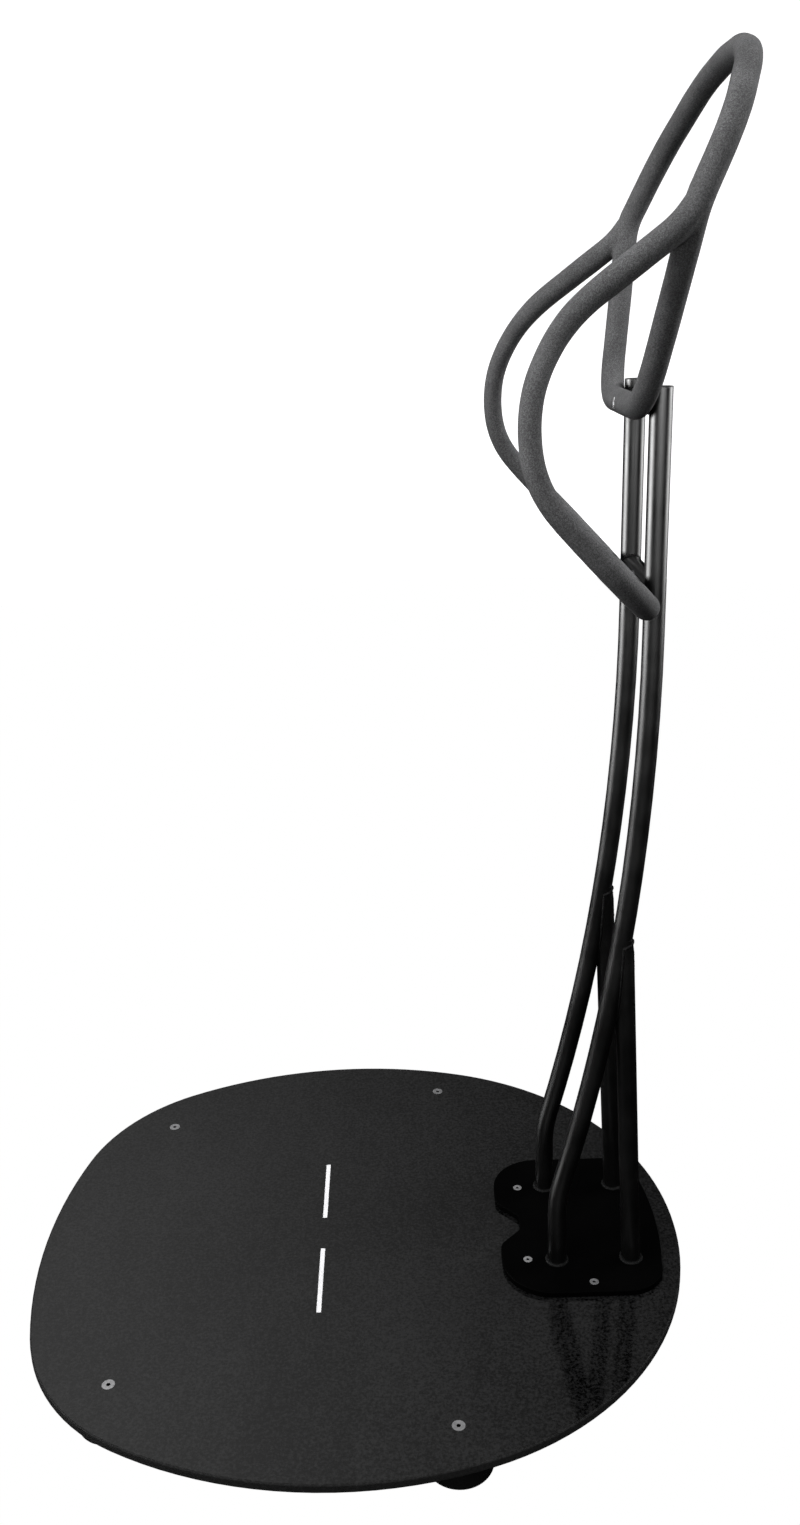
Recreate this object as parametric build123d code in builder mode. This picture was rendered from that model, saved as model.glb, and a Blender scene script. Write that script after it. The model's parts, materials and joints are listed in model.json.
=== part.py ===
from build123d import *
import os
from math import cos, radians, sin, tan

os.makedirs("parts", exist_ok=True)

# A standing platform: a rounded board on rubber feet, with a twin-tube column and a padded handle.
# +X runs along the board towards the column, +Y to the left of a person who faces the column.
# The origin is on the floor, in the middle of the footprint.

# ---------------------------------------------------------------- driving dimensions
# Board
deck_x = -11.1
deck_length = 887.7
board_thickness = 12.5
nose_radius, nose_sweep = 759.0, 14.24
front_corner_radius, front_corner_sweep = 271.0, 47.84
side_radius, side_sweep = 573.0, 45.82
rear_corner_radius, rear_corner_sweep = 409.0, 58.24
board_edge_round = 2.5

# Feet and their screws
foot_height = 42.5
foot_radius = 42.0
foot_top_radius = 38.0
foot_sole_round = 4.0
foot_rim_round = 1.5
foot_recess_depth = 12.0
foot_recess_radius = 18.0
insert_flange_radius = 15.0
insert_flange_thickness = 3.0
insert_boss_radius = 7.0
front_foot = (deck_x - 303.0, 269.2)
middle_foot = (deck_x + 122.0, 348.1)
rear_foot = (deck_x + 313.1, 124.4)

# Base plate: the same on both sides of the XZ plane
plate_thickness = 8.0
plate_half_width = 143.0
plate_front_x = deck_x + 195.5
plate_rear_x = deck_x + 417.0
plate_rear_bulge = 8.0
plate_rear_half_width = 92.0
plate_front_corner_radius = 64.0
plate_rear_corner_radius = 50.0
notch_x = deck_x + 225.5
notch_half_width = 45.0
notch_flank = 14.0
notch_mouth_radius = 22.0
notch_root_radius = 12.0
plate_edge_round = 1.2
plate_bolt = (deck_x + 229.8, 77.3)

# Round steel tube of the column
tube_radius = 25.4 / 2
tube_wall = 2.0
bar_radius = 25.0 / 2
tube_spacing = 159.0
upright_foot_x = deck_x + 269.0
upright_straight = 79.0
upright_bend_radius = 175.0
upright_sweep_radius = 2900.0
upright_lean = 14.85
upright_top_z = 1200.0
brace_foot_x = deck_x + 369.2
brace_top_x = deck_x + 347.6
brace_top_z = 540.0
brace_overrun = 5.0
scarf_setback = 13.6
scarf_height = 46.0
scarf_depth = 7.5
cap_thickness = 2.0
cap_plug_depth = 8.0
cap_edge_round = 0.8
lower_bar_z = 980.0
upper_bar_z = 1180.0
weld_leg = 2.6
weld_center_out = 0.8
weld_center_up = 0.6
weld_start_z = 428.0
weld_band_width = 9.0

# Handle: a steel core tube inside a foam cover
grip_radius = 13.8
lower_grip_radius = 13.0
core_radius = 9.5
core_wall = 1.5
grip_setback = 25.6
bend_share = 0.45

# Fasteners: thread radius, head radius, length under the top of the head, socket across flats
m8_thread, m8_head, m8_length, m8_socket = 4.0, 8.0, 35.0, 5.0
m6_thread, m6_head, m6_length, m6_socket = 3.0, 6.0, 30.0, 4.0
rear_screw_length = 50.0
clearance = 0.1
head_land = 0.6
socket_depth_share = 0.8
sleeve_radius = 7.0
handle_bolt_head_radius = 7.0
handle_bolt_head_height = 4.4
handle_bolt_length = 44.0
handle_bolt_round = 2.4
handle_bolt_socket_depth = 2.6
recess_radius = 7.8
washer_radius, washer_thickness = 9.0, 1.6
nut_flats, nut_height = 10.0, 5.0

# ---------------------------------------------------------------- worked-out places
board_top_z = foot_height + board_thickness
plate_top_z = board_top_z + plate_thickness
deck_front_x = deck_x - deck_length / 2
deck_rear_x = deck_x + deck_length / 2
bend_rise = upright_bend_radius * sin(radians(upright_lean))
sweep_rise = upright_sweep_radius * sin(radians(upright_lean))
bend_run = upright_bend_radius * (1 - cos(radians(upright_lean)))
sweep_run = upright_sweep_radius * (1 - cos(radians(upright_lean)))
column_x = upright_foot_x + bend_run + sweep_run
handle_x = column_x - grip_setback

m8_spots = [(x, side * y) for x, y in (front_foot, middle_foot) for side in (1, -1)]
rear_foot_spots = [(rear_foot[0], side * rear_foot[1]) for side in (1, -1)]
plate_bolt_spots = [(plate_bolt[0], side * plate_bolt[1]) for side in (1, -1)]
tube_sides = {"left": tube_spacing / 2, "right": -tube_spacing / 2}

# Corners of the two handle loops, left half, each as (distance from the column, y, z)
upper_loop = [
    (-grip_setback, 0, upper_bar_z),
    (-grip_setback, 109, upper_bar_z),
    (-9.0, 157, 1282),
    (5.0, 197, 1376),
    (42.5, 179, 1454),
    (72.5, 101, 1518),
    (80.5, 30, 1533),
    (80.5, 0, 1533),
]
lower_loop = [
    (-grip_setback, 0, lower_bar_z),
    (-grip_setback, 245, lower_bar_z),
    (-155.5, 250, 1117),
    (-161.0, 235, 1203),
    (-123.5, 208, 1275),
    (-0.5, 197, 1363),
    (5.0, 193, 1380),
]


def save(piece, label):
    piece.part.label = label
    export_step(piece.part, f"parts/{label}.step")


# ---------------------------------------------------------------- board
with BuildPart() as deck_board:
    with BuildSketch(Plane.XY.offset(foot_height)):
        with BuildLine():
            nose = JernArc((deck_front_x, 0), (0, 1), nose_radius, -nose_sweep)
            front_corner = JernArc(nose @ 1, nose % 1, front_corner_radius, -front_corner_sweep)
            flank = JernArc(front_corner @ 1, front_corner % 1, side_radius, -side_sweep)
            rear_corner = JernArc(flank @ 1, flank % 1, rear_corner_radius, -rear_corner_sweep)
            TangentArc(rear_corner @ 1, (deck_rear_x, 0), tangent=rear_corner % 1)
            mirror(about=Plane.XZ)
        make_face()
    extrude(amount=board_thickness)
    rims = faces().filter_by(Axis.Z)
    fillet(rims.edges(), board_edge_round)
    with Locations(Plane.XY.offset(board_top_z)):
        with Locations(*m8_spots):
            CounterSinkHole(m8_thread + clearance, m8_head + clearance, counter_sink_angle=90)
        with Locations(*plate_bolt_spots, *rear_foot_spots):
            Hole(m6_thread + clearance)
save(deck_board, "deck_board")


# ---------------------------------------------------------------- feet
def make_foot():
    """A tapered rubber foot, hollow under the flange of its threaded insert."""
    with BuildPart() as foot:
        with BuildSketch(Plane.XZ):
            with BuildLine():
                Polyline(
                    (0, 0),
                    (foot_radius, 0),
                    (foot_top_radius, foot_height),
                    (0, foot_height),
                    close=True,
                )
            make_face()
        revolve(axis=Axis.Z)
        fillet(foot.edges().group_by(Axis.Z)[0], foot_sole_round)
        fillet(foot.edges().group_by(Axis.Z)[-1], foot_rim_round)
        with BuildSketch():
            Circle(foot_recess_radius)
        extrude(amount=foot_recess_depth, mode=Mode.SUBTRACT)
        with BuildSketch(Plane.XY.offset(foot_recess_depth)):
            Circle(insert_boss_radius)
        extrude(amount=foot_height - foot_recess_depth, mode=Mode.SUBTRACT)
    return foot


def make_insert(thread_radius):
    """A flanged threaded insert: the flange lies in the recess under the foot."""
    with BuildPart() as insert:
        with BuildSketch(Plane.XY.offset(foot_recess_depth - insert_flange_thickness)):
            Circle(insert_flange_radius)
        extrude(amount=insert_flange_thickness)
        with BuildSketch(Plane.XY.offset(foot_recess_depth)):
            Circle(insert_boss_radius)
        extrude(amount=foot_height - foot_recess_depth)
        Hole(thread_radius + clearance)
    return insert


def copies(piece, spots):
    with BuildPart() as group:
        with Locations(*spots):
            add(piece.part)
    return group


foot = make_foot()
foot_places = {"front": front_foot, "middle": middle_foot, "rear": rear_foot}
for row, (x, y) in foot_places.items():
    for side, sign in (("left", 1), ("right", -1)):
        save(copies(foot, [(x, sign * y)]), f"{row}_{side}_foot")
save(copies(make_insert(m8_thread), m8_spots), "foot_inserts")
save(copies(make_insert(m6_thread), rear_foot_spots), "rear_foot_inserts")


# ---------------------------------------------------------------- countersunk screws
def make_countersunk(thread_radius, head_radius, length, socket):
    """A hex-socket countersunk screw that hangs down from z = 0."""
    cone = head_radius - thread_radius
    with BuildPart() as screw:
        with BuildSketch(Plane.XZ):
            with BuildLine():
                Polyline(
                    (0, 0),
                    (head_radius, 0),
                    (thread_radius, -cone),
                    (thread_radius, -length),
                    (0, -length),
                    close=True,
                )
            make_face()
        revolve(axis=Axis.Z)
        chamfer(screw.edges().group_by(Axis.Z)[0], head_land)
        with BuildSketch():
            RegularPolygon(socket / 2, 6, major_radius=False)
        extrude(amount=-cone * socket_depth_share, mode=Mode.SUBTRACT)
    return screw


foot_screw = make_countersunk(m8_thread, m8_head, m8_length, m8_socket)
plate_screw = make_countersunk(m6_thread, m6_head, m6_length, m6_socket)
rear_screw = make_countersunk(m6_thread, m6_head, rear_screw_length, m6_socket)
save(copies(foot_screw, [(x, y, board_top_z) for x, y in m8_spots]), "foot_screws")
save(copies(plate_screw, [(x, y, plate_top_z) for x, y in plate_bolt_spots]), "plate_screws")
save(copies(rear_screw, [(x, y, plate_top_z) for x, y in rear_foot_spots]), "rear_foot_screws")

# ---------------------------------------------------------------- nuts under the board
with BuildPart() as plate_washers:
    with BuildSketch(Plane.XY.offset(foot_height - washer_thickness)):
        with Locations(*plate_bolt_spots):
            Circle(washer_radius)
            Circle(m6_thread + clearance, mode=Mode.SUBTRACT)
    extrude(amount=washer_thickness)
save(plate_washers, "plate_washers")

with BuildPart() as plate_nuts:
    with BuildSketch(Plane.XY.offset(foot_height - washer_thickness - nut_height)):
        with Locations(*plate_bolt_spots):
            RegularPolygon(nut_flats / 2, 6, major_radius=False)
            Circle(m6_thread + clearance, mode=Mode.SUBTRACT)
    extrude(amount=nut_height)
save(plate_nuts, "plate_nuts")

# ---------------------------------------------------------------- base plate
plate_corner_x = plate_rear_x - plate_rear_bulge
half_outline = [
    (notch_x, 0),
    (notch_x, notch_flank),
    (plate_front_x, notch_half_width),
    (plate_front_x, plate_half_width),
    (plate_corner_x, plate_half_width),
    (plate_corner_x, plate_rear_half_width),
]
corner_radii = [
    notch_root_radius,
    notch_mouth_radius,
    plate_front_corner_radius,
    plate_rear_corner_radius,
]
with BuildPart() as base_plate:
    with BuildSketch(Plane.XY.offset(board_top_z)):
        with BuildLine():
            FilletPolyline(*half_outline, radius=corner_radii)
            TangentArc(half_outline[-1], (plate_rear_x, 0), tangent=(0, 1), tangent_from_first=False)
            mirror(about=Plane.XZ)
        make_face()
    extrude(amount=plate_thickness)
    fillet(base_plate.faces().sort_by(Axis.Z)[-1].edges(), plate_edge_round)
    with Locations(Plane.XY.offset(plate_top_z)):
        with Locations(*plate_bolt_spots, *rear_foot_spots):
            CounterSinkHole(m6_thread + clearance, m6_head + clearance, counter_sink_angle=90)
save(base_plate, "base_plate")


# ---------------------------------------------------------------- uprights
def upright_rod(y, radius, bore=0.0):
    """The bent line of one upright, swept with a disc, or with a ring when bore is given."""
    with BuildPart() as rod:
        with BuildLine(Plane.XZ.offset(-y)):
            bend_z = plate_top_z + upright_straight
            foot_line = Line((upright_foot_x, plate_top_z), (upright_foot_x, bend_z))
            bend = JernArc(foot_line @ 1, (0, 1), upright_bend_radius, -upright_lean)
            lean_back = (sin(radians(upright_lean)), cos(radians(upright_lean)))
            arch_start = (
                upright_foot_x + bend_run,
                bend_z + bend_rise,
            )
            JernArc(arch_start, lean_back, upright_sweep_radius, upright_lean)
            Line((column_x, arch_start[1] + sweep_rise), (column_x, upright_top_z))
        with BuildSketch(Plane.XY.offset(plate_top_z)):
            with Locations((upright_foot_x, y)):
                Circle(radius)
                if bore:
                    Circle(bore, mode=Mode.SUBTRACT)
        sweep()
    return rod


uprights = {side: upright_rod(y, tube_radius, tube_radius - tube_wall) for side, y in tube_sides.items()}
upright_solids = {side: upright_rod(y, tube_radius) for side, y in tube_sides.items()}
for side, upright in uprights.items():
    save(upright, f"{side}_upright")

with BuildPart() as upright_caps:
    with BuildSketch(Plane.XY.offset(upright_top_z)):
        with Locations(*[(column_x, y) for y in tube_sides.values()]):
            Circle(tube_radius)
    extrude(amount=cap_thickness)
    fillet(upright_caps.faces().group_by(Axis.Z)[-1].edges(), cap_edge_round)
    with BuildSketch(Plane.XY.offset(upright_top_z - cap_plug_depth)):
        with Locations(*[(column_x, y) for y in tube_sides.values()]):
            Circle(tube_radius - tube_wall - clearance)
    extrude(amount=cap_plug_depth)
save(upright_caps, "upright_caps")

# ---------------------------------------------------------------- braces
brace_lean = (brace_top_x - brace_foot_x, 0, brace_top_z - plate_top_z)
scarf_start = (column_x - scarf_setback, 0, brace_top_z)
scarf_plane = Plane(origin=scarf_start, z_dir=(scarf_height, 0, scarf_depth))


def brace_rod(y, radius, bore=0.0):
    """A straight brace: flat on the base plate, cut off along the slanting scarf plane."""
    with BuildPart() as rod:
        with BuildSketch(Plane(origin=(brace_foot_x, y, plate_top_z), z_dir=brace_lean)):
            Circle(radius)
            if bore:
                Circle(bore, mode=Mode.SUBTRACT)
        extrude(amount=brace_top_z - plate_top_z + brace_overrun)
        extrude(rod.faces().sort_by(Axis.Z)[0], amount=brace_overrun)
        split(bisect_by=Plane.XY.offset(plate_top_z), keep=Keep.TOP)
        split(bisect_by=scarf_plane, keep=Keep.BOTTOM)
    return rod


brace_solids = {side: brace_rod(y, tube_radius) for side, y in tube_sides.items()}
for side, y in tube_sides.items():
    brace_tube = brace_rod(y, tube_radius, tube_radius - tube_wall)
    with BuildPart() as brace:
        add(brace_tube.part)
        add(upright_solids[side].part, mode=Mode.SUBTRACT)
    save(brace, f"{side}_brace")


# ---------------------------------------------------------------- cross tubes
def bar_rod(z, radius, bore=0.0):
    """A level rod from one upright's middle to the other's."""
    with BuildPart() as rod:
        with BuildSketch(Plane.XZ.offset(-tube_spacing / 2)):
            with Locations((column_x, z)):
                Circle(radius)
                if bore:
                    Circle(bore, mode=Mode.SUBTRACT)
        extrude(amount=tube_spacing)
    return rod


def sleeve_rod(z, radius):
    """A rod along X, through a cross tube and up to the handle's core."""
    with BuildPart() as rod:
        with BuildSketch(Plane.YZ.offset(handle_x)):
            with Locations((0, z)):
                Circle(radius)
        extrude(amount=grip_setback + tube_radius)
    return rod


bar_heights = {"lower": lower_bar_z, "upper": upper_bar_z}
bar_solids = {row: bar_rod(z, bar_radius) for row, z in bar_heights.items()}
sleeve_solids = {row: sleeve_rod(z, sleeve_radius) for row, z in bar_heights.items()}
sleeve_bores = {row: sleeve_rod(z, m8_thread + clearance) for row, z in bar_heights.items()}
for row, z in bar_heights.items():
    bar_tube = bar_rod(z, bar_radius, bar_radius - tube_wall)
    with BuildPart() as crossbar:
        add(bar_tube.part)
        for upright in upright_solids.values():
            add(upright.part, mode=Mode.SUBTRACT)
        add(sleeve_solids[row].part, mode=Mode.SUBTRACT)
    save(crossbar, f"{row}_crossbar")


# ---------------------------------------------------------------- handle
def bend_radii(corners):
    """The largest arc at each corner that leaves a little straight tube on both sides."""
    radii = []
    for before, here, after in zip(corners, corners[1:], corners[2:]):
        run_in = Vector(*here) - Vector(*before)
        run_out = Vector(*after) - Vector(*here)
        turn = radians(run_in.get_angle(run_out))
        radii.append(bend_share * min(run_in.length, run_out.length) / tan(turn / 2))
    return radii


def loop_rod(corners, radius, bore=0.0):
    """Both halves of a handle loop, swept from the middle of its level lower member."""
    places = [(column_x + x, y, z) for x, y, z in corners]
    with BuildPart() as rod:
        with BuildLine():
            FilletPolyline(*places, radius=bend_radii(places))
        with BuildSketch(Plane(origin=places[0], z_dir=(0, 1, 0))):
            Circle(radius)
            if bore:
                Circle(bore, mode=Mode.SUBTRACT)
        sweep()
        mirror(about=Plane.XZ)
    return rod


loops = {"upper": upper_loop, "lower": lower_loop}
core_solids = {row: loop_rod(corners, core_radius) for row, corners in loops.items()}
core_bore = core_radius - core_wall
core_tubes = {row: loop_rod(corners, core_radius, core_bore) for row, corners in loops.items()}
grip_solids = {
    "upper": loop_rod(upper_loop, grip_radius),
    "lower": loop_rod(lower_loop, lower_grip_radius),
}


def drill_core(z):
    """A clearance hole along X through both walls of the core being built."""
    with Locations(Plane.YZ):
        with Locations((0, z, handle_x)):
            Cylinder(m8_thread + clearance, 3 * core_radius, mode=Mode.SUBTRACT)


with BuildPart() as upper_grip_core:
    add(core_tubes["upper"].part)
    drill_core(upper_bar_z)
save(upper_grip_core, "upper_grip_core")

with BuildPart() as lower_grip_core:
    add(core_tubes["lower"].part)
    add(core_solids["upper"].part, mode=Mode.SUBTRACT)
    drill_core(lower_bar_z)
save(lower_grip_core, "lower_grip_core")


def cut_for_mounting(row):
    """Take the cross tube, uprights, sleeve and bolt recess away from the grip being built."""
    add(bar_solids[row].part, mode=Mode.SUBTRACT)
    for upright in upright_solids.values():
        add(upright.part, mode=Mode.SUBTRACT)
    add(sleeve_solids[row].part, mode=Mode.SUBTRACT)
    with Locations(Plane.YZ):
        with Locations((0, bar_heights[row], handle_x - grip_radius)):
            Cylinder(recess_radius, 2 * grip_radius, mode=Mode.SUBTRACT)


with BuildPart() as upper_grip:
    add(grip_solids["upper"].part)
    for core in core_solids.values():
        add(core.part, mode=Mode.SUBTRACT)
    cut_for_mounting("upper")
save(upper_grip, "upper_grip")

with BuildPart() as lower_grip:
    add(grip_solids["lower"].part)
    add(grip_solids["upper"].part, mode=Mode.SUBTRACT)
    add(core_solids["lower"].part, mode=Mode.SUBTRACT)
    cut_for_mounting("lower")
save(lower_grip, "lower_grip")

# ---------------------------------------------------------------- handle fixings
with BuildPart() as handle_sleeves:
    for row in bar_heights:
        add(sleeve_solids[row].part)
        add(core_solids[row].part, mode=Mode.SUBTRACT)
        add(sleeve_bores[row].part, mode=Mode.SUBTRACT)
save(handle_sleeves, "handle_sleeves")

with BuildPart() as handle_bolts:
    for z in bar_heights.values():
        seat = Plane(origin=(handle_x - core_radius, 0, z), x_dir=(0, 1, 0), z_dir=(1, 0, 0))
        with BuildSketch(seat):
            Circle(m8_thread)
        extrude(amount=handle_bolt_length)
        with BuildSketch(seat):
            Circle(handle_bolt_head_radius)
        extrude(amount=-handle_bolt_head_height)
        fillet(handle_bolts.faces().sort_by(Axis.X)[0].edges(), handle_bolt_round)
        with BuildSketch(seat.offset(-handle_bolt_head_height)):
            RegularPolygon(m8_socket / 2, 6, major_radius=False)
        extrude(amount=handle_bolt_socket_depth, mode=Mode.SUBTRACT)
save(handle_bolts, "handle_bolts")

# ---------------------------------------------------------------- weld beads
foot_rings = [(x, y) for x in (upright_foot_x, brace_foot_x) for y in tube_sides.values()]
with BuildPart() as base_welds:
    for x, y in foot_rings:
        with BuildSketch(Plane.XZ.offset(-y)):
            with Locations((x + tube_radius + weld_center_out, plate_top_z + weld_center_up)):
                Circle(weld_leg)
        revolve(axis=Axis((x, y, 0), (0, 0, 1)))
    for side in tube_sides:
        add(upright_solids[side].part, mode=Mode.SUBTRACT)
        add(brace_solids[side].part, mode=Mode.SUBTRACT)
    split(bisect_by=Plane.XY.offset(plate_top_z), keep=Keep.TOP)
save(base_welds, "base_welds")

seams = []
for side, y in tube_sides.items():
    fat_brace = brace_rod(y, tube_radius + weld_leg)
    fat_upright = upright_rod(y, tube_radius + weld_leg)
    seam = fat_brace.part & fat_upright.part
    seams.append(seam - upright_solids[side].part - brace_solids[side].part)
with BuildPart() as brace_welds:
    add(seams)
    split(bisect_by=Plane.XY.offset(weld_start_z), keep=Keep.TOP)
save(brace_welds, "brace_welds")

bar_end = tube_spacing / 2 - tube_radius
beads = []
for row, z in bar_heights.items():
    fat_bar = bar_rod(z, bar_radius + weld_leg)
    for side, y in tube_sides.items():
        band_y = bar_end if y > 0 else -bar_end
        band = Pos(column_x, band_y, z) * Box(4 * tube_radius, weld_band_width, 4 * tube_radius)
        stub = Pos(column_x, y, z) * Cylinder(tube_radius + weld_leg, 6 * tube_radius)
        bead = (fat_bar.part & stub & band) - bar_solids[row].part - upright_solids[side].part
        beads.append(bead - grip_solids[row].part)
with BuildPart() as crossbar_welds:
    add(beads)
save(crossbar_welds, "crossbar_welds")
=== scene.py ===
import json
import math

import bmesh
import bpy
import numpy as np
from mathutils import Matrix, Vector


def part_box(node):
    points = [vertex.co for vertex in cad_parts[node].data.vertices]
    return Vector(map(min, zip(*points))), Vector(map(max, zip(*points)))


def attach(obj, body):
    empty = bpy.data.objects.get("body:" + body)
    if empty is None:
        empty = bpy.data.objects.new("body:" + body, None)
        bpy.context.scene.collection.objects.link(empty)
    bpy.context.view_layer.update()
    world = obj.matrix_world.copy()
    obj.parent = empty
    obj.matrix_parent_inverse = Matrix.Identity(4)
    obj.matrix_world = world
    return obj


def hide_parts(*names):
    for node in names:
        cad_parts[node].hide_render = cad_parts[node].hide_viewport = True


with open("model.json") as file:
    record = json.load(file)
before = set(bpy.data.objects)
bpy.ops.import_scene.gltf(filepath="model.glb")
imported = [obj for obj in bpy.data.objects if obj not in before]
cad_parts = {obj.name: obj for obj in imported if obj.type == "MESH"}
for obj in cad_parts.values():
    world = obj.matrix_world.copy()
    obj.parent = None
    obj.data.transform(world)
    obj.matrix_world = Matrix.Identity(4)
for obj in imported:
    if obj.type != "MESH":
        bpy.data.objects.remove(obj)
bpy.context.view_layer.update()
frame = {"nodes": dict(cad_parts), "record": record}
NODES = frame["nodes"]

MM = 0.001


# ================================================================ places read from the frame
upright_low, upright_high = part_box("left_upright")
lower_bar_low, lower_bar_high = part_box("lower_crossbar")
upper_bar_low, upper_bar_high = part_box("upper_crossbar")
base_weld_low, base_weld_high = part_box("base_welds")

FOOT_SCREW_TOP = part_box("foot_screws")[1].z
PLATE_SCREW_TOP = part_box("plate_screws")[1].z
PLATE_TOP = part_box("base_plate")[1].z
UPRIGHT_TOP = upright_high.z
COLUMN_X = (upper_bar_low.x + upper_bar_high.x) / 2
LOWER_BAR_Z = (lower_bar_low.z + lower_bar_high.z) / 2
UPPER_BAR_Z = (upper_bar_low.z + upper_bar_high.z) / 2
BAR_RADIUS = (upper_bar_high.x - upper_bar_low.x) / 2
TUBE_Y = (upright_low.y + upright_high.y) / 2
TUBE_RADIUS = (upright_high.y - upright_low.y) / 2

# The weld rings reach as far past the feet of the uprights and braces along X as they do along Y
base_weld_reach = base_weld_high.y - TUBE_Y
UPRIGHT_FOOT_X = base_weld_low.x + base_weld_reach
BRACE_FOOT_X = base_weld_high.x - base_weld_reach


# ================================================================ material helpers
class Mat:
    """A node material, with short calls for the nodes that the surfaces here are made of."""

    def __init__(self, name, color, rough, metallic=0.0, specular=0.5):
        self.material = bpy.data.materials.new(name)
        self.material.use_nodes = True
        self.tree = self.material.node_tree
        self.shader = self.tree.nodes["Principled BSDF"]
        self.shader.inputs["Base Color"].default_value = color
        self.shader.inputs["Roughness"].default_value = rough
        self.shader.inputs["Metallic"].default_value = metallic
        self.shader.inputs["Specular IOR Level"].default_value = specular
        coord = self.node("ShaderNodeTexCoord")
        self.place, self.facing = coord.outputs["Object"], coord.outputs["Normal"]

    def feed(self, socket, value):
        """Link an output to a socket, or set the socket to a value."""
        if isinstance(value, bpy.types.NodeSocket):
            self.tree.links.new(value, socket)
        else:
            socket.default_value = value

    def node(self, kind, **values):
        """A new node, each named socket fed with an output or a value."""
        made = self.tree.nodes.new(kind)
        for name, value in values.items():
            self.feed(made.inputs[name.replace("_", " ")], value)
        return made

    def noise(self, scale, detail=4.0, rough=0.55, stretch=None):
        vector = self.place
        if stretch:
            vector = self.node("ShaderNodeMapping", Vector=vector, Scale=stretch).outputs["Vector"]
        made = self.node(
            "ShaderNodeTexNoise", Vector=vector, Scale=scale, Detail=detail, Roughness=rough)
        return made.outputs["Fac"]

    def cells(self, scale):
        return self.node("ShaderNodeTexVoronoi", Vector=self.place, Scale=scale).outputs["Distance"]

    def ramp(self, fac, low, high, at=(0.35, 0.65)):
        """From low to high while the factor goes from at[0] to at[1], level outside that."""
        made = self.node(
            "ShaderNodeMapRange",
            Value=fac, From_Min=at[0], From_Max=at[1], To_Min=low, To_Max=high)
        return made.outputs["Result"]

    def math(self, operation, a, b=0.0):
        made = self.node("ShaderNodeMath")
        made.operation = operation
        self.feed(made.inputs[0], a)
        self.feed(made.inputs[1], b)
        return made.outputs["Value"]

    def axis(self, vector, name):
        return self.node("ShaderNodeSeparateXYZ", Vector=vector).outputs[name]

    def band(self, value, middle, half_width):
        """1 within half_width of the middle, 0 outside it, with a sharp printed edge."""
        offset = self.math("ABSOLUTE", self.math("SUBTRACT", value, middle))
        return self.ramp(offset, 1.0, 0.0, at=(half_width - 0.3 * MM, half_width + 0.3 * MM))

    def socket_painted_shade(self, steel, top):
        """A steel colour painted black down in the sockets of screw heads with this top: painted
        shade in the recesses.
        """
        depth = self.ramp(self.axis(self.place, "Z"), 1.0, 0.0, at=(top - 1.8 * MM, top - 0.6 * MM))
        return self.mixed(depth, steel, grey(0.02))

    def mixed(self, fac, low, high):
        """A colour output between two colours, each an output or a value."""
        made = self.node("ShaderNodeMix")
        made.data_type = "RGBA"
        # the colour sockets share their names with the float ones, so they go by number
        for number, value in ((0, fac), (6, low), (7, high)):
            self.feed(made.inputs[number], value)
        return made.outputs[2]

    def color(self, output):
        self.feed(self.shader.inputs["Base Color"], output)

    def mottle(self, fac, low, high):
        """Colour the surface between two greys by a noise."""
        self.color(self.mixed(self.ramp(fac, 0.0, 1.0), grey(low), grey(high)))

    def roughness(self, output):
        self.feed(self.shader.inputs["Roughness"], output)

    def bump(self, *layers):
        """The finished material, with bump layers, each (height output, distance, strength)."""
        normal = None
        for height, distance, strength in layers:
            made = self.node("ShaderNodeBump", Height=height, Distance=distance, Strength=strength)
            if normal:
                self.feed(made.inputs["Normal"], normal)
            normal = made.outputs["Normal"]
        self.feed(self.shader.inputs["Normal"], normal)
        return self.material


def grey(value):
    """A neutral colour, a touch blue."""
    return (value, value, value * 1.02, 1)


# ================================================================ materials
# Two plain lines in the middle of the board: their place along X, and their size
LINE_X = -0.062
LINE_HALF_WIDTH = 0.003
LINE_MIDDLE_Y = 0.095
LINE_HALF_LENGTH = 0.062


def laminate():
    """Through-black glossy board: fine grain, faint smudges, and two plain pale stance lines."""
    m = Mat("laminate", grey(0.004), 0.3, specular=0.35)
    smudge = m.noise(3.2, 7.0, 0.65)
    wipe = m.noise(2.0, 6.0, 0.7, stretch=(6.0, 1.2, 1.0))
    grain = m.noise(260.0, 4.0, 0.8)
    tone = m.math("ADD", m.ramp(smudge, 0.0, 0.4), m.ramp(wipe, 0.0, 0.2))
    tone = m.math("ADD", tone, m.ramp(grain, -0.65, 0.85, at=(0.36, 0.64)))
    board = m.mixed(tone, grey(0.0001), grey(0.0066))

    width = m.band(m.axis(m.place, "X"), LINE_X, LINE_HALF_WIDTH)
    from_middle = m.math("ABSOLUTE", m.axis(m.place, "Y"))
    length = m.band(from_middle, LINE_MIDDLE_Y, LINE_HALF_LENGTH)
    line = m.math("MULTIPLY", width, length)
    ink = m.math("MULTIPLY", line, m.ramp(grain, 0.8, 1.0))
    m.color(m.mixed(ink, board, grey(0.55)))

    face = m.math("ADD", m.ramp(smudge, 0.03, 0.07), m.ramp(grain, -0.01, 0.01))
    # the sawn and rounded edge, where the surface turns away from level, is duller than the face
    edge = m.ramp(m.axis(m.facing, "Z"), 0.75, 0.0, at=(0.97, 0.998))
    m.roughness(m.math("ADD", face, edge))
    return m.bump((grain, 0.1 * MM, 0.04), (m.noise(60.0, 3.0), 0.1 * MM, 0.1))


def foot_rubber():
    m = Mat("foot_rubber", grey(0.004), 0.75, specular=0.1)
    grain = m.noise(700.0, 3.0)
    m.mottle(m.noise(30.0), 0.003, 0.006)
    m.roughness(m.ramp(grain, 0.62, 0.78))
    return m.bump((grain, 0.3 * MM, 0.4))


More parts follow.
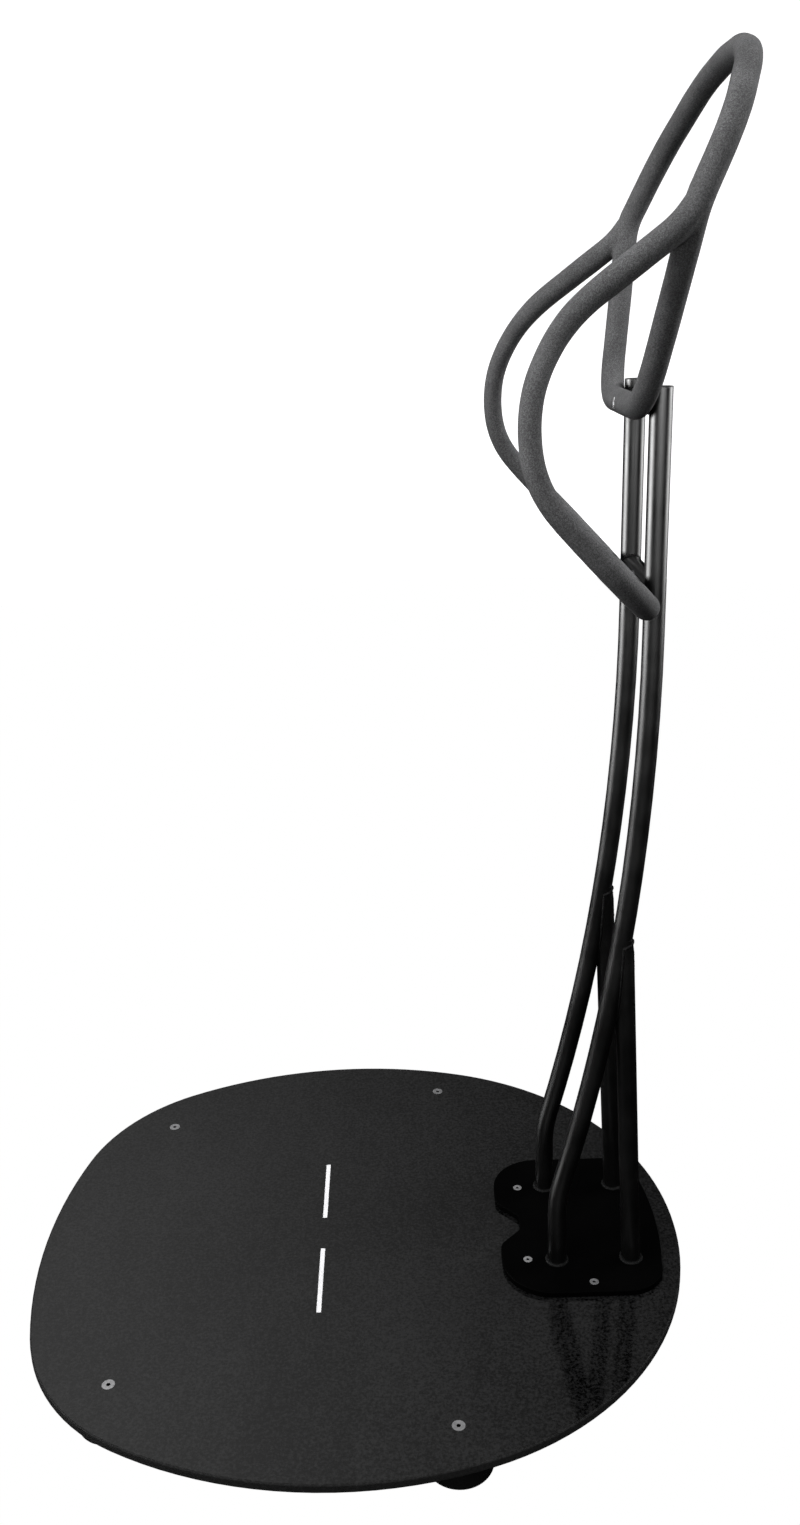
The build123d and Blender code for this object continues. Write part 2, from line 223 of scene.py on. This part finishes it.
def powder_coat(name, tone, rough, specular):
    """Black powder coat with its fine orange peel."""
    m = Mat(name, grey(tone), rough, specular=specular)
    peel = m.noise(340.0, 2.0, 0.5)
    m.mottle(m.noise(14.0, 5.0), tone * 0.75, tone * 1.25)
    m.roughness(m.ramp(m.noise(22.0, 5.0), rough - 0.05, rough + 0.05))
    return m.bump((peel, 0.06 * MM, 0.08))


def weld_bead():
    """Weld under the coat: the same black over a rough bead."""
    m = Mat("weld_bead", grey(0.004), 0.5, specular=0.08)
    rough = m.noise(420.0, 4.0, 0.65)
    m.mottle(rough, 0.002, 0.006)
    m.roughness(m.ramp(m.noise(180.0), 0.42, 0.58))
    return m.bump((rough, 0.6 * MM, 0.6))


def foam_skin():
    """Self-skinned foam: dark grey, dull, with an open grain, pits and a few pale scuffs."""
    m = Mat("foam_skin", grey(0.05), 0.8, specular=0.08)
    fine = m.noise(850.0, 3.0, 0.8)
    grain = m.noise(420.0, 5.0, 0.8)
    cloud = m.noise(22.0, 5.0, 0.6)
    pits = m.ramp(m.cells(120.0), 0.0, 1.0, at=(0.0, 0.2))
    scuff = m.ramp(m.noise(34.0, 6.0, 0.7), 0.0, 0.5, at=(0.68, 0.8))
    coarse_speckle = m.ramp(grain, 0.5, 1.0, at=(0.38, 0.62))
    fine_speckle = m.ramp(fine, 0.35, 1.0, at=(0.4, 0.6))
    speckle = m.math("MULTIPLY", coarse_speckle, fine_speckle)
    tone = m.math("MULTIPLY", speckle, m.ramp(cloud, 0.7, 1.0))
    m.color(m.mixed(m.math("ADD", tone, scuff), grey(0.008), grey(0.125)))
    m.roughness(m.ramp(grain, 0.7, 0.9))
    return m.bump(
        (fine, 0.4 * MM, 0.5), (grain, 0.8 * MM, 0.4),
        (pits, 0.4 * MM, 0.3), (cloud, 0.8 * MM, 0.2))


def polished_steel():
    m = Mat("polished_steel", grey(0.72), 0.3, metallic=1.0)
    rough = m.noise(300.0, 3.0, stretch=(1, 1, 6))
    m.roughness(m.ramp(rough, 0.2, 0.45))
    steel = m.mixed(m.ramp(m.noise(150.0), 0.0, 1.0), grey(0.78), grey(0.66))
    # the sockets of the plate screws are painted black: painted shade in the recesses
    m.color(m.socket_painted_shade(steel, PLATE_SCREW_TOP))
    return m.bump((rough, 0.05 * MM, 0.3))


def satin_steel():
    m = Mat("satin_steel", grey(0.5), 0.4, metallic=1.0)
    rough = m.noise(500.0, 3.0)
    m.roughness(m.ramp(rough, 0.34, 0.5))
    steel = m.mixed(m.ramp(m.noise(220.0), 0.0, 1.0), grey(0.4), grey(0.55))
    # the sockets of the foot screws are painted black: painted shade in the recesses
    m.color(m.socket_painted_shade(steel, FOOT_SCREW_TOP))
    return m.bump((rough, 0.1 * MM, 0.4))


def zinc_steel():
    m = Mat("zinc_steel", grey(0.5), 0.42, metallic=1.0)
    rough = m.noise(240.0, 4.0)
    m.mottle(m.noise(60.0), 0.42, 0.58)
    m.roughness(m.ramp(rough, 0.36, 0.52))
    return m.bump((rough, 0.1 * MM, 0.3))


def cap_plastic():
    m = Mat("cap_plastic", grey(0.016), 0.34)
    grain = m.noise(500.0, 3.0)
    m.mottle(m.noise(50.0), 0.012, 0.022)
    m.roughness(m.ramp(grain, 0.28, 0.42))
    return m.bump((grain, 0.2 * MM, 0.3))


MATERIALS = {
    "laminate": laminate(),
    "foot_rubber": foot_rubber(),
    "black_powder_coat": powder_coat("powder_coat", 0.001, 0.33, 0.5),
    "weld": weld_bead(),
    "grip_foam": foam_skin(),
    "polished_steel": polished_steel(),
    "satin_steel": satin_steel(),
    "zinc_steel": zinc_steel(),
    "core_steel": zinc_steel(),
    "cap_plastic": cap_plastic(),
}


# Edges that turn by more than this, in degrees, stay hard on the CAD pieces, the new ones and foam
CAD_SHARP_ANGLE = 40
PIECE_SHARP_ANGLE = 60
FOAM_SHARP_ANGLE = 50


def shade_smooth(obj, angle):
    obj.data.shade_smooth()
    obj.data.set_sharp_from_angle(angle=math.radians(angle))


for part in frame["record"]["subparts"]:
    node = NODES[part["node"]]
    node.data.materials.clear()
    node.data.materials.append(MATERIALS[part["material_slot"]])
    shade_smooth(node, CAD_SHARP_ANGLE)
# the plate gets a copy of the tubes' powder coat with half their colour, painted shade where it
# lies low and flat under the lights, and a duller finish with little gloss
NODES["base_plate"].data.materials[0] = powder_coat("plate_coat_painted_shade", 0.0005, 0.5, 0.01)


# ================================================================ mesh helpers
def add_object(name, data):
    obj = bpy.data.objects.new(name, data)
    bpy.context.scene.collection.objects.link(obj)
    return obj


def mesh_object(name, verts, faces):
    data = bpy.data.meshes.new(name)
    data.from_pydata([tuple(v) for v in verts], [], faces)
    data.update()
    return add_object(name, data)


def add_piece(name, verts, faces, slot, replaced):
    """A new mesh piece that takes the place of CAD nodes."""
    obj = mesh_object(name, verts, faces)
    obj.data.materials.append(MATERIALS[slot])
    shade_smooth(obj, PIECE_SHARP_ANGLE)
    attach(obj, "root")
    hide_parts(*replaced)
    return obj


def apply_modifiers(obj):
    depsgraph = bpy.context.evaluated_depsgraph_get()
    data = bpy.data.meshes.new_from_object(obj.evaluated_get(depsgraph))
    obj.modifiers.clear()
    obj.data = data


def unit(v):
    return v / np.maximum(np.linalg.norm(v, axis=-1, keepdims=True), 1e-12)


def smooth_step(value, low, high):
    t = np.clip((value - low) / (high - low), 0, 1)
    return t * t * (3 - 2 * t)


def wave_noise(points, scale, seed, waves=14):
    """Smooth noise between about -1 and 1: a seeded sum of sine waves."""
    random = np.random.default_rng(seed)
    directions = unit(random.normal(size=(waves, 3))) * scale * random.uniform(0.6, 1.6, (waves, 1))
    phases = random.uniform(0, 2 * np.pi, waves)
    return np.sin(points @ directions.T + phases).sum(1) / math.sqrt(waves / 2) / 2


def sweep_frames(path, closed):
    """Two unit vectors across the path at each of its points, carried along with no twist."""
    if closed:
        tangent = unit(np.roll(path, -1, 0) - np.roll(path, 1, 0))
    else:
        tangent = unit(np.gradient(path, axis=0))
    # any start direction will do that no path here runs along
    across = np.cross(tangent[0], (0.31, 0.53, 0.79))
    rows = []
    for t in tangent:
        across = unit(across - t * np.dot(across, t))
        rows.append(across)
    side = np.array(rows)
    return side, np.cross(tangent, side)


def tube_mesh(path, radii, around, closed=False):
    """Vertices and faces of a tube along a path, with one radius for each point."""
    side, up = sweep_frames(path, closed)
    turn = np.linspace(0, 2 * np.pi, around, endpoint=False)[None, :, None]
    ring = side[:, None] * np.cos(turn) + up[:, None] * np.sin(turn)
    verts = (path[:, None] + ring * np.asarray(radii)[:, None, None]).reshape(-1, 3)
    count = len(path)
    faces = []
    for i in range(count if closed else count - 1):
        a, b = i * around, (i + 1) % count * around
        for j in range(around):
            k = (j + 1) % around
            faces.append((a + j, a + k, b + k, b + j))
    if not closed:
        faces.append(tuple(range(around))[::-1])
        faces.append(tuple(range((count - 1) * around, count * around)))
    return verts, faces


def join_meshes(meshes):
    verts, faces, start = [], [], 0
    for some_verts, some_faces in meshes:
        verts.append(some_verts)
        faces += [tuple(i + start for i in face) for face in some_faces]
        start += len(some_verts)
    return np.concatenate(verts), faces


# ================================================================ paths of the two handle loops
PATH_STEP = 0.003
BEND_SHARE = 0.45  # how much of the shorter run beside a corner its arc takes up
TIGHT_BEND_SHARE = 0.2
SAME_PLACE = 1e-6

# Corners of the two loops, left half, in millimetres from the column. They are those of the CAD
# part, except that the lower loop's last corner is drawn back into the upper loop.
UPPER_CORNERS = [
    (-25.6, 0, 1180),
    (-25.6, 109, 1180),
    (-9.0, 157, 1282),
    (5.0, 197, 1376),
    (42.5, 179, 1454),
    (72.5, 101, 1518),
    (80.5, 30, 1533),
    (80.5, 0, 1533),
]
LOWER_CORNERS = [
    (-25.6, 0, 980),
    (-25.6, 245, 980),
    (-155.5, 250, 1117),
    (-161.0, 235, 1203),
    (-123.5, 208, 1275),
    (-0.5, 197, 1363),
    (6.0, 195.5, 1377),
]


def rounded_path(corners, tight):
    """The loop's centre line, left half: straight runs joined by arcs, one of them tighter."""
    places = [np.array((COLUMN_X + x * MM, y * MM, z * MM)) for x, y, z in corners]
    points = [places[0]]
    for i, (before, here, after) in enumerate(zip(places, places[1:], places[2:]), 1):
        run_in, run_out = here - before, after - here
        length_in, length_out = np.linalg.norm(run_in), np.linalg.norm(run_out)
        a, b = run_in / length_in, run_out / length_out
        turn = math.acos(np.clip(a @ b, -1, 1))
        share = TIGHT_BEND_SHARE if i == tight else BEND_SHARE
        trim = share * min(length_in, length_out)
        radius = trim / math.tan(turn / 2)
        centre = here + unit(b - a) * radius / math.cos(turn / 2)
        spoke = here - a * trim - centre
        swing = np.cross(np.cross(a, b), spoke)
        swing = swing / np.linalg.norm(swing) * radius
        for angle in np.linspace(0, turn, max(4, int(radius * turn / PATH_STEP))):
            points.append(centre + spoke * math.cos(angle) + swing * math.sin(angle))
    points.append(places[-1])
    dense = [points[0]]
    for point in points[1:]:
        gap = np.linalg.norm(point - dense[-1])
        if gap > SAME_PLACE:
            pieces = max(1, int(gap / PATH_STEP))
            dense += [dense[-1] + (point - dense[-1]) * (i + 1) / pieces for i in range(pieces)]
    return np.array(dense)


def whole_path(half, closed):
    """Both halves of a loop, in order: the right half is the mirror of the left one."""
    mirrored = (half * (1, -1, 1))[::-1]
    return np.concatenate([mirrored[:-1], half[:-1] if closed else half])


def softened(path, reach=0.03):
    """The same open path with its bends eased: each point is the mean of those within reach."""
    count = round(reach / PATH_STEP)
    before = 2 * path[0] - path[count:0:-1]
    after = 2 * path[-1] - path[-2:-count - 2:-1]
    long_path = np.concatenate([before, path, after])
    weights = np.hanning(2 * count + 3)[1:-1]
    weights /= weights.sum()
    return np.stack([np.convolve(long_path[:, i], weights, "valid") for i in range(3)], 1)


UPPER_PATH = whole_path(rounded_path(UPPER_CORNERS, tight=3), closed=True)
LOWER_PATH = softened(whole_path(rounded_path(LOWER_CORNERS, tight=0), closed=False))


def nearest(points, path, closed):
    """Distance to a path, and the unit direction away from it, for each point."""
    chunk_size, stride = 20000, 4  # a rough search at every fourth point, then the pieces beside it
    ends = np.roll(path, -1, 0) if closed else path[1:]
    starts = path if closed else path[:-1]
    along = ends - starts
    size = (along ** 2).sum(1)
    best = np.full(len(points), np.inf)
    away = np.zeros_like(points)
    for first in range(0, len(points), chunk_size):
        chunk = slice(first, first + chunk_size)
        p = points[chunk]
        near = ((p[:, None] - path[None, ::stride]) ** 2).sum(2).argmin(1) * stride
        for shift in range(-stride, stride + 1):
            i = near + shift
            i = i % len(starts) if closed else np.clip(i, 0, len(starts) - 1)
            t = np.clip(((p - starts[i]) * along[i]).sum(1) / size[i], 0, 1)
            gap = p - starts[i] - along[i] * t[:, None]
            distance = np.linalg.norm(gap, axis=1)
            closer = distance < best[chunk]
            best[chunk][closer] = distance[closer]
            away[chunk][closer] = gap[closer]
    return best, unit(away)


# ================================================================ foam handle cover
FOAM_VOXEL = 0.0017
UPPER_GRIP = 0.0138
LOWER_GRIP = 0.0136

# The lower loop's foam is thinner where it is furthest forward of the column
LOWER_THINNING = 0.0021
THIN_PLACE = 0.1567
THIN_SPREAD = 0.05

# Where the loops meet on the left, the way from their sharp crotch to the soft fillet above it,
# and how widely each of the two blends
JOINT = np.array((COLUMN_X + 0.005, 0.195, 1.376))
JOINT_UP = np.array((-0.57, -0.28, 0.77))
JOINT_TURN = (-0.009, 0.003)
CROTCH_BLEND, FILLET_BLEND = 0.004, 0.008

# The bolts' round recesses: their size, and their depth from the loops' middle line forward
GRIP_SETBACK = 0.0256
RECESS_RADIUS = 0.0078
RECESS_DEPTHS = (0.004, 0.02)

# The patch of creases inside the top bend: its middle from the column and from the middle plane,
# how wide and how low it reaches, the way its waves run, and how deep the creases are
CROWN_X, CROWN_Y = 0.0725, 0.07
CROWN_SPREAD, CROWN_LOW_Z = 0.05, 1.45
CREASE_WAVES = np.array((150.0, 900.0, 420.0))
CREASE_DEPTH = 0.0008


def foam_field(points):
    """Signed distance to the foam's skin, below 0 inside, and the direction in which it grows."""
    upper, upper_away = nearest(points, UPPER_PATH, True)
    lower, lower_away = nearest(points, LOWER_PATH, False)
    forward = COLUMN_X - points[:, 0]
    thin = LOWER_THINNING * np.exp(-(((THIN_PLACE - forward) / THIN_SPREAD) ** 2))
    a, b = upper - UPPER_GRIP, lower - (LOWER_GRIP - thin)
    folded = np.stack([points[:, 0], np.abs(points[:, 1]), points[:, 2]], 1)
    rise = smooth_step((folded - JOINT) @ JOINT_UP, *JOINT_TURN)
    blend = CROTCH_BLEND + (FILLET_BLEND - CROTCH_BLEND) * rise
    # no swelling where the two tubes run side by side
    parting = 1 - (upper_away * lower_away).sum(1)
    blend = blend * smooth_step(parting, 0.0, 0.35) + 1e-6
    share = np.clip(0.5 + 0.5 * (b - a) / blend, 0, 1)
    value = b * (1 - share) + a * share - blend * share * (1 - share)
    slope = lower_away * (1 - share)[:, None] + upper_away * share[:, None]

    # the uprights and the cross tubes press flats into the foam
    for y in (-TUBE_Y, TUBE_Y):
        gap = points[:, :2] - (COLUMN_X, y)
        distance = TUBE_RADIUS - np.linalg.norm(gap, axis=1)
        inside = (distance > value) & (points[:, 2] < UPRIGHT_TOP)
        value = np.where(inside, distance, value)
        slope[inside, :2] = -unit(gap[inside])
        slope[inside, 2] = 0
    for z in (LOWER_BAR_Z, UPPER_BAR_Z):
        gap = points[:, ::2] - (COLUMN_X, z)
        distance = BAR_RADIUS - np.linalg.norm(gap, axis=1)
        inside = (distance > value) & (np.abs(points[:, 1]) < TUBE_Y)
        value = np.where(inside, distance, value)
        slope[inside, ::2] = -unit(gap[inside])
        slope[inside, 1] = 0
    return value, unit(slope)


def skin_relief(points, slope):
    """How far the moulded skin stands out: it swells and dips, and creases in the top bend."""
    relief = 0.22 * MM * wave_noise(points, 60.0, 3) + 0.08 * MM * wave_noise(points, 260.0, 5)
    from_crown = np.hypot(
        points[:, 0] - COLUMN_X - CROWN_X, np.abs(points[:, 1]) - CROWN_Y)
    crown = np.exp(-((from_crown / CROWN_SPREAD) ** 2))
    inner = smooth_step(-slope[:, 2], 0.1, 0.8) * (points[:, 2] > CROWN_LOW_Z)
    crease = np.sin(points @ CREASE_WAVES + 1.5 * wave_noise(points, 90.0, 8))
    return relief - CREASE_DEPTH * crown * inner * smooth_step(crease, 0.3, 1.0)


def recess_cutter():
    """Two short rods along X, where the bolts go in through the foam."""
    meshes = []
    for z in (LOWER_BAR_Z, UPPER_BAR_Z):
        path = np.array([(COLUMN_X - GRIP_SETBACK - depth, 0, z) for depth in RECESS_DEPTHS])
        meshes.append(tube_mesh(path, (RECESS_RADIUS, RECESS_RADIUS), around=40))
    return mesh_object("cutter", *join_meshes(meshes))


def make_foam():
    """One moulded cover over both loops, with soft fillets where the lower one joins the upper."""
    upper = tube_mesh(UPPER_PATH, np.full(len(UPPER_PATH), UPPER_GRIP), 24, True)
    lower = tube_mesh(LOWER_PATH, np.full(len(LOWER_PATH), LOWER_GRIP), 24, False)
    verts, faces = join_meshes([upper, lower])
    foam = add_piece("foam_cover", verts, faces, "grip_foam", ("upper_grip", "lower_grip"))
    remesh = foam.modifiers.new("remesh", "REMESH")
    remesh.mode = "VOXEL"
    remesh.voxel_size = FOAM_VOXEL
    apply_modifiers(foam)

    co = np.empty(len(foam.data.vertices) * 3)
    foam.data.vertices.foreach_get("co", co)
    co = co.reshape(-1, 3)
    settling_steps, longest_step = 5, 3 * MM
    for _ in range(settling_steps):
        value, slope = foam_field(co)
        co -= np.clip(value, -longest_step, longest_step)[:, None] * slope
    slope = foam_field(co)[1]
    co += slope * skin_relief(co, slope)[:, None]
    foam.data.vertices.foreach_set("co", co.ravel())
    foam.data.update()

    cutter = recess_cutter()
    cut = foam.modifiers.new("cut", "BOOLEAN")
    cut.operation = "DIFFERENCE"
    cut.solver = "EXACT"
    cut.object = cutter
    apply_modifiers(foam)
    bpy.data.objects.remove(cutter)
    foam.data.materials.clear()
    foam.data.materials.append(MATERIALS["grip_foam"])
    shade_smooth(foam, FOAM_SHARP_ANGLE)


make_foam()


# ================================================================ weld beads
# The uprights' long arc, and each brace from its foot to the top of its seam
SWEEP_RADIUS = 2.9
SWEEP_TOP_Z = 0.930
BRACE_FOOT_RUN = 0.1002
BRACE_TOP_RUN = 0.0786
BRACE_TOP_Z = 0.54
SEAM_LOW_Z = 0.432
SEAM_TOP_Z = 0.534

FOOT_BEAD = 0.0024
CROSS_TUBE_BEAD = 0.0019
SEAM_BEAD_LOW = 0.0011
SEAM_BEAD_GROWTH = 0.0008
SPATTER_DROPS = 70
SPATTER_SPREAD_Z = 0.035
SPATTER_SIZES = (0.0003, 0.0008)


def upright_x(z):
    """The upright's middle at a height in its long arc."""
    return COLUMN_X - SWEEP_RADIUS + math.sqrt(SWEEP_RADIUS ** 2 - (SWEEP_TOP_Z - z) ** 2)


def brace_x(z):
    """The brace's middle at a height."""
    along = (z - PLATE_TOP) / (BRACE_TOP_Z - PLATE_TOP)
    return UPRIGHT_FOOT_X + BRACE_FOOT_RUN + (BRACE_TOP_RUN - BRACE_FOOT_RUN) * along


def bead(path, radius, closed, seed, ripple=0.0035):
    """A laid weld bead: overlapping ripples along the seam, uneven in width and place."""
    step = np.linalg.norm(np.diff(path, axis=0), axis=1)
    run = np.concatenate([[0], np.cumsum(step)])
    total = run[-1] + (np.linalg.norm(path[0] - path[-1]) if closed else 0)
    ripples = max(3, round(total / ripple))
    saw = (run / total * ripples) % 1.0
    scale = 0.88 + 0.22 * np.sqrt(np.clip(1 - (saw - 0.25) ** 2 * 1.7, 0, 1))
    radii = radius * scale * (1 + 0.08 * wave_noise(path, 900.0, seed))
    wander = np.stack([wave_noise(path, 500.0, seed + k) for k in (1, 2, 3)], 1)
    return tube_mesh(path + wander * np.mean(radius) * 0.08, radii, 14, closed)


def foot_bead(x, y, seed):
    """The ring of weld where a tube stands on the base plate."""
    turn = np.linspace(0, 2 * np.pi, 220, endpoint=False)
    radius = TUBE_RADIUS + 0.7 * MM
    level = np.full_like(turn, PLATE_TOP + 0.6 * MM)
    path = np.stack([x + radius * np.cos(turn), y + radius * np.sin(turn), level], 1)
    return bead(path, FOOT_BEAD, True, seed)


def cross_tube_bead(z, side, seed):
    """The saddle of weld where a cross tube meets an upright, thinner at its front and back."""
    turn = np.linspace(0, 2 * np.pi, 200, endpoint=False)
    x, rise = BAR_RADIUS * 0.95 * np.cos(turn), BAR_RADIUS * np.sin(turn)
    y = TUBE_Y - np.sqrt(TUBE_RADIUS ** 2 - x ** 2) + 0.2 * MM
    path = np.stack([COLUMN_X + x, side * y, z + rise], 1)
    thick = CROSS_TUBE_BEAD * (1 - 0.55 * np.cos(turn) ** 4)
    return bead(path, thick, True, seed)


def brace_bead(side, seed):
    """A bead up each side of the seam of brace and upright, and over the brace's cut end."""
    rise = SEAM_TOP_Z - SEAM_LOW_Z
    points = []
    for z in SEAM_LOW_Z + rise * np.linspace(0, 1, 90):
        gap = brace_x(z) - upright_x(z)
        half = math.sqrt(max(TUBE_RADIUS ** 2 - (gap / 2) ** 2, 0))
        points.append((upright_x(z) + gap / 2, half + 0.3 * MM, z))
    side_run = np.array(points)
    over = []
    reach = TUBE_RADIUS + 0.6 * MM
    for turn in np.linspace(0, math.pi, 40)[1:-1]:
        z = SEAM_TOP_Z + 6 * MM * math.sin(turn)
        over.append((upright_x(z) + reach * math.sin(turn), reach * math.cos(turn), z))
    path = np.concatenate([side_run, over, (side_run * (1, -1, 1))[::-1]])
    path[:, 1] += side * TUBE_Y
    height = np.clip((path[:, 2] - SEAM_LOW_Z) / rise, 0, 1)
    return bead(path, SEAM_BEAD_LOW + SEAM_BEAD_GROWTH * height, False, seed, ripple=0.0042)


def spatter(side, seed):
    """Small low drops of weld metal on the back of a brace, thicker towards its seam's top."""
    random = np.random.default_rng(seed)
    meshes = []
    for _ in range(SPATTER_DROPS):
        z = SEAM_TOP_Z - abs(random.normal()) * SPATTER_SPREAD_Z
        turn = random.uniform(-1.35, 1.35)
        y = side * TUBE_Y + TUBE_RADIUS * math.sin(turn)
        centre = (brace_x(z) + TUBE_RADIUS * math.cos(turn), y, z)
        drop = bmesh.new()
        size = random.uniform(*SPATTER_SIZES)
        bmesh.ops.create_icosphere(drop, subdivisions=2, radius=size)
        verts = np.array([v.co for v in drop.verts]) * (1, 1, 0.8) + centre
        meshes.append((verts, [tuple(v.index for v in f.verts) for f in drop.faces]))
        drop.free()
    return meshes


def make_welds():
    feet, cross_tubes, braces = [], [], []
    for i, x in enumerate((UPRIGHT_FOOT_X, BRACE_FOOT_X)):
        for j, y in enumerate((-TUBE_Y, TUBE_Y)):
            feet.append(foot_bead(x, y, 20 + 4 * i + 9 * j))
    for i, z in enumerate((LOWER_BAR_Z, UPPER_BAR_Z)):
        for side in (-1, 1):
            cross_tubes.append(cross_tube_bead(z, side, 60 + 10 * i + side))
    for side in (-1, 1):
        braces.append(brace_bead(side, 90 + side))
        braces += spatter(side, 7 + side)
    add_piece("foot_weld_beads", *join_meshes(feet), "weld", ["base_welds"])
    add_piece("cross_tube_weld_beads", *join_meshes(cross_tubes), "weld", ["crossbar_welds"])
    add_piece("brace_weld_beads", *join_meshes(braces), "weld", ["brace_welds"])


make_welds()


# ================================================================ camera, light and floor
CAMERA_PLACE = (0.0683, -1.5595, 1.2931)
CAMERA_TURN = (-0.078, 19.03, -1.793)  # yaw to the right, pitch down and roll, in degrees
SENSOR_HEIGHT = 24.0
FOCAL_LENGTH = SENSOR_HEIGHT * 0.87022

SWEEP_FLOOR_RADIUS = 5.0
SWEEP_COVE = 2.0
SWEEP_HEIGHT = 7.0
SWEEP_STEPS = 24
SWEEP_AROUND = 96


def make_camera():
    """Standing eye level in front of the long side, looking slightly down."""
    yaw, pitch, roll = (math.radians(a) for a in CAMERA_TURN)
    ahead = Vector((math.sin(yaw), math.cos(yaw), 0))
    forward = math.cos(pitch) * ahead - Vector((0, 0, math.sin(pitch)))
    level = Vector((math.cos(yaw), -math.sin(yaw), 0))
    right = math.cos(roll) * level + math.sin(roll) * level.cross(forward)
    up = right.cross(forward)
    camera = add_object("camera", bpy.data.cameras.new("camera"))
    camera.data.sensor_fit = "VERTICAL"
    camera.data.sensor_height = SENSOR_HEIGHT
    camera.data.lens = FOCAL_LENGTH
    camera.data.clip_end = 60
    camera.matrix_world = Matrix((right, up, -forward)).transposed().to_4x4()
    camera.location = CAMERA_PLACE
    bpy.context.scene.camera = camera


def make_floor():
    """A pale studio sweep: level floor, round cove and tall wall all round, in one sheet."""
    mesh = bmesh.new()
    profile = [(SWEEP_FLOOR_RADIUS, 0.0)]
    for i in range(1, SWEEP_STEPS + 1):
        a = math.pi / 2 * i / SWEEP_STEPS
        out, rise = SWEEP_COVE * math.sin(a), SWEEP_COVE * (1 - math.cos(a))
        profile.append((SWEEP_FLOOR_RADIUS + out, rise))
    profile.append((SWEEP_FLOOR_RADIUS + SWEEP_COVE, SWEEP_HEIGHT))
    turns = [2 * math.pi * i / SWEEP_AROUND for i in range(SWEEP_AROUND)]
    rows = [
        [mesh.verts.new((r * math.cos(t), r * math.sin(t), z)) for t in turns]
        for r, z in profile
    ]
    mesh.faces.new(rows[0])
    for a, b in zip(rows, rows[1:]):
        for i in range(SWEEP_AROUND):
            k = (i + 1) % SWEEP_AROUND
            mesh.faces.new((a[i], a[k], b[k], b[i]))
    data = bpy.data.meshes.new("studio_floor")
    mesh.to_mesh(data)
    mesh.free()
    data.shade_smooth()
    m = Mat("studio_paper", grey(0.6), 0.9, specular=0.0)
    m.mottle(m.noise(2.0), 0.59, 0.61)
    m.shader.inputs["Emission Color"].default_value = (1, 1, 1, 1)
    m.shader.inputs["Emission Strength"].default_value = 1.0
    data.materials.append(m.material)
    floor = add_object("studio_floor", data)
    # it is seen, but neither lights the object nor shows in its gloss
    floor.visible_diffuse = False
    floor.visible_glossy = False
    floor.visible_shadow = False


def make_world():
    """A dim room: dark below the horizon, lighter above it and towards the left."""
    world = bpy.data.worlds.new("studio")
    bpy.context.scene.world = world
    world.use_nodes = True
    tree = world.node_tree
    background = tree.nodes["Background"]
    background.inputs["Color"].default_value = (1, 1, 1, 1)
    coord = tree.nodes.new("ShaderNodeTexCoord")
    split = tree.nodes.new("ShaderNodeSeparateXYZ")
    tree.links.new(coord.outputs["Generated"], split.inputs["Vector"])
    strength = tree.nodes.new("ShaderNodeMath")
    strength.operation = "MULTIPLY"
    fades = (("X", (-0.4, 0.27, 1.0, 0.05)), ("Z", (0.3, 0.85, 0.005, 1.45)))
    for factor, (axis, spans) in zip(strength.inputs, fades):
        fade = tree.nodes.new("ShaderNodeMapRange")
        fade.interpolation_type = "SMOOTHSTEP"
        tree.links.new(split.outputs[axis], fade.inputs["Value"])
        for name, value in zip(("From Min", "From Max", "To Min", "To Max"), spans):
            fade.inputs[name].default_value = value
        tree.links.new(fade.outputs["Result"], factor)
    tree.links.new(strength.outputs["Value"], background.inputs["Strength"])


def make_area(name, place, target, size, power, spread=180):
    light = add_object(name, bpy.data.lights.new(name, "AREA"))
    light.data.shape = "RECTANGLE"
    light.data.size, light.data.size_y = size
    light.data.energy = power
    light.data.spread = math.radians(spread)
    light.location = place
    light.rotation_euler = (Vector(target) - Vector(place)).to_track_quat("-Z", "Y").to_euler()
    return light


def make_lights():
    """Wide softboxes that only show in the gloss, and smaller ones that only light the surfaces."""
    for light in (
        make_area("left_softbox", (-1.9, 0.1, 0.95), (0.35, 0, 0.95), (2.6, 1.15), 26, spread=60),
        make_area("right_softbox", (2.4, 0.3, 1.35), (0.35, 0, 1.35), (2.8, 1.5), 17, spread=60),
        make_area("front_softbox", (0.4, -3.4, 1.45), (0.35, 0, 1.6), (6.0, 1.1), 56, spread=90),
    ):
        light.visible_diffuse = False
    for light in (
        make_area("fill_softbox", (0.0, -3.0, 1.9), (0.3, 0, 1.2), (1.2, 1.2), 19),
        make_area("rim_softbox", (2.3, 0.5, 2.3), (0.35, 0, 1.4), (1.4, 1.4), 125),
        make_area("key_softbox", (-1.0, -1.0, 3.0), (0.2, 0, 1.2), (1.2, 1.2), 98),
        make_area("bounce_softbox", (-0.9, -0.5, 0.9), (0.4, 0.1, 1.45), (0.8, 0.8), 7),
    ):
        light.visible_glossy = False


make_camera()
make_floor()
make_world()
make_lights()
bpy.context.scene.view_settings.view_transform = "Standard"
